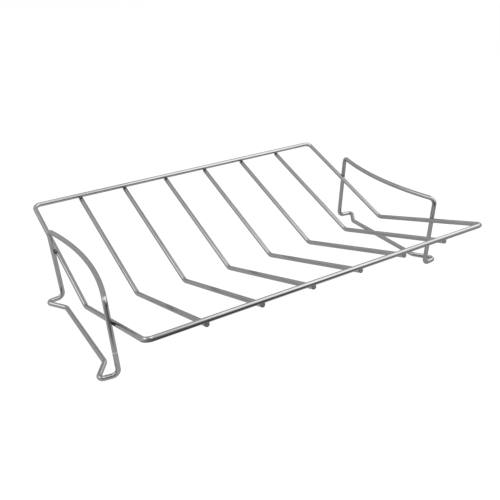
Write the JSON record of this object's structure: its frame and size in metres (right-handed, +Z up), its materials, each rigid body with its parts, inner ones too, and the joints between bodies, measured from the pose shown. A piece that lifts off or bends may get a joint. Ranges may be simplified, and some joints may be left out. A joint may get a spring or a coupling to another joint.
{
  "type": "roasting rack",
  "caption": "V-shaped wire rack that cradles a roast above its pan, with a closed rim, bent cross wires and a looped leg and handle frame at each end.",
  "frame": {"origin": "on the surface that the rack stands on, under the middle of the rack", "axes": "+X along the rails to the right, +Y to the back, across the cradle, +Z up"},
  "size_m": [0.4208, 0.31, 0.086],
  "materials": {
    "rim_wire": "bright plated steel wire, drawn and polished",
    "cross_wires": "bright plated steel wire, drawn and polished",
    "leg_frames": "bright plated steel wire, drawn and polished"
  },
  "bodies": {
    "root": {"rim_wire": "rim_wire", "cross_wire_1": "cross_wires", "cross_wire_2": "cross_wires", "cross_wire_3": "cross_wires", "cross_wire_4": "cross_wires", "cross_wire_5": "cross_wires", "cross_wire_6": "cross_wires", "leg_frame_left": "leg_frames", "leg_frame_right": "leg_frames"}
  },
  "joints": []
}
